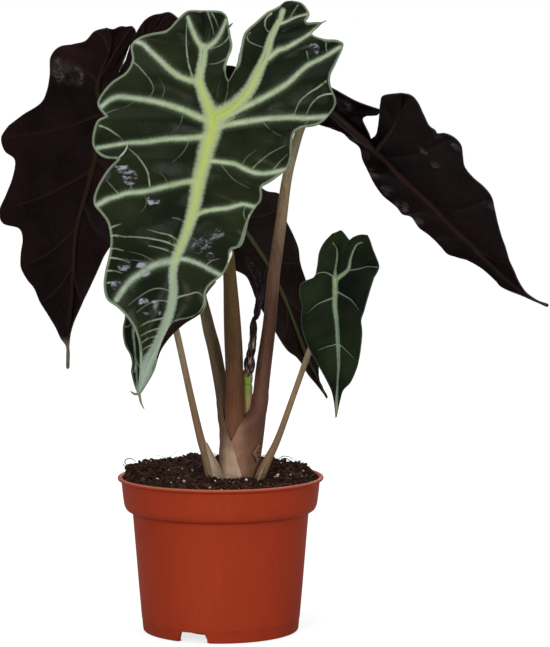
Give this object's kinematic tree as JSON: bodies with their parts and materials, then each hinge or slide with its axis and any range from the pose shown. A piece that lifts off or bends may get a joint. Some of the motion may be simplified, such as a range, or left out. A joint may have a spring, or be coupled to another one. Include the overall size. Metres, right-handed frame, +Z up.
{
  "type": "potted alocasia polly",
  "caption": "Small potted aroid with arrow-shaped waved leaves on upright stalks, a peat soil fill and a round nursery pot with a banded rim.",
  "frame": {"origin": "centre of the pot's foot, on the surface the pot stands on", "axes": "+Z up along the pot's axis, -Y towards the front of the plant, +X to its right seen from the front"},
  "size_m": [0.3374, 0.189, 0.3655],
  "materials": {
    "pot": "terracotta-coloured moulded plastic with a soft sheen",
    "soil": "dark fibrous peat with a few pale grains",
    "stalk": "smooth living stalk, reddish brown with olive",
    "stalk_pale": "smooth thin living stalk, tan",
    "withered": "shrivelled, glossy black-purple dried shoot",
    "leaf_upper_front": "waxy dark green upper side with pale veins, maroon underside",
    "leaf_under_front": "satin dark maroon underside with brown ribs, green upper side turned away"
  },
  "bodies": {
    "root": {"pot": "pot", "soil": "soil", "stalk_clump": "stalk", "stalk_e": "stalk_pale", "stalk_f": "stalk_pale", "withered_shoot": "withered", "leaf_a": "leaf_upper_front", "leaf_b": "leaf_under_front", "leaf_c": "leaf_under_front", "leaf_d": "leaf_under_front", "leaf_e": "leaf_upper_front", "leaf_f": "leaf_upper_front"}
  },
  "joints": []
}
